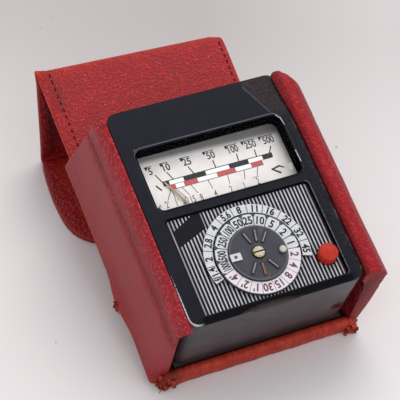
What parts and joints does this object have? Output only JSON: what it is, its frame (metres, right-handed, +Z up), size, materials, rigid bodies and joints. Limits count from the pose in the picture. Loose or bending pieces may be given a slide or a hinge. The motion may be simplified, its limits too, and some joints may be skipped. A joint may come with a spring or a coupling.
{
  "type": "selenium light meter",
  "caption": "Pocket selenium light meter with needle scale, turning exposure dial and release button, in a leather case whose lid is folded under it as a prop.",
  "frame": {"origin": "middle of the footprint, on the surface that the tongue of the lid and the case's near bottom edge stand on", "axes": "+X to the right across the meter's face, +Y from the meter's near end to the folded lid behind it, +Z up"},
  "size_m": [0.0738, 0.1172, 0.0596],
  "materials": {
    "bakelite": "gloss",
    "glass": "gloss",
    "card": "matt",
    "stripes": "satin",
    "ring": "satin",
    "brass": "satin",
    "steel": "satin",
    "copper": "satin",
    "button": "satin",
    "cell": "satin",
    "lens": "gloss",
    "spool": "matt",
    "lead": "matt",
    "leather": "grained",
    "worn": "worn",
    "board": "matt"
  },
  "bodies": {
    "case_and_meter": {"rear_housing": "bakelite", "front_cover": "bakelite", "cell_carrier": "bakelite", "window_glass": "glass", "scale_card": "card", "stripe_plate": "stripes", "f_number_ring": "ring", "left_near_pillar": "brass", "left_far_pillar": "brass", "right_near_pillar": "brass", "right_far_pillar": "brass", "dial_bush": "brass", "dial_screw": "brass", "dial_nut": "brass", "button_guide": "brass", "lever_bracket": "brass", "movement_base": "brass", "upper_bridge": "brass", "core_pin": "brass", "contact_frame": "brass", "left_near_screw": "steel", "left_far_screw": "steel", "right_near_screw": "steel", "right_far_screw": "steel", "button_spring": "steel", "lever_pin": "steel", "magnet": "steel", "core": "steel", "near_end_screw": "copper", "selenium_cell": "cell", "cell_lens": "lens", "series_resistor": "spool", "cell_lead": "lead", "return_lead": "lead", "case_bottom_leather": "leather", "case_left_cover": "leather", "case_right_cover": "leather", "near_edge_welt": "worn", "case_bottom_board": "board", "case_left_stiffener": "board", "case_right_stiffener": "board"},
    "end_panel": {"flap_end_lining": "leather", "flap_end_leather": "leather"},
    "front_panel": {"flap_front_lining": "leather", "flap_front_leather": "leather"},
    "tongue": {"flap_tongue_lining": "leather", "flap_tongue_leather": "leather"},
    "time_ring": {"time_disc": "ring"},
    "dial_centre": {"centre_disc": "bakelite", "index_tab": "card", "finger_peg": "steel"},
    "button": {"release_button": "button"},
    "brake": {"brake_lever": "brass"},
    "needle_movement": {"needle": "brass", "counterweight": "brass", "moving_coil": "copper", "upper_pivot": "steel", "lower_pivot": "steel", "upper_hairspring": "brass", "lower_hairspring": "brass"}
  },
  "joints": [
    {"name": "end_crease", "type": "hinge", "parent": "case_and_meter", "child": "end_panel", "pos_m": [-0.00025, 0.02478, 0.02703], "axis": [1, 0, 0], "range_deg": [0, 90]},
    {"name": "ridge_crease", "type": "hinge", "parent": "end_panel", "child": "front_panel", "pos_m": [-0.00025, 0.05864, 0.03803], "axis": [1, 0, 0], "range_deg": [0, 201.4]},
    {"name": "tongue_crease", "type": "hinge", "parent": "front_panel", "child": "tongue", "pos_m": [-0.00025, 0.05538, 0], "axis": [1, 0, 0], "range_deg": [0, 85.1]},
    {"name": "time_disc_turn", "type": "hinge", "parent": "case_and_meter", "child": "time_ring", "pos_m": [-0.00075, -0.0428, 0.03956], "axis": [0, -0.309, 0.9511], "continuous": true},
    {"name": "centre_disc_turn", "type": "hinge", "parent": "time_ring", "child": "dial_centre", "pos_m": [-0.00075, -0.0428, 0.03956], "axis": [0, -0.309, 0.9511], "range_deg": [-110, 110]},
    {"name": "button_press", "type": "slide", "parent": "case_and_meter", "child": "button", "axis": [0, 0.309, -0.9511], "range_m": [0, 0.0012], "stiffness_N_per_m": 700, "springref_m": -0.0006, "deforming": ["button_spring"]},
    {"name": "brake_turn", "type": "hinge", "parent": "case_and_meter", "child": "brake", "pos_m": [0.01425, -0.04706, 0.03197], "axis": [0, 0.9511, 0.309], "range_deg": [0, 13]},
    {"name": "needle_swing", "type": "hinge", "parent": "case_and_meter", "child": "needle_movement", "pos_m": [-0.00025, -0.0429, 0.03953], "axis": [0, -0.309, 0.9511], "range_deg": [-57, 0], "stiffness_Nm_per_rad": 0.0002, "springref_deg": 5.73}
  ],
  "couplings": [
    {"joint": "brake_turn", "follows": "button_press", "rad_per_m": 189}
  ]
}
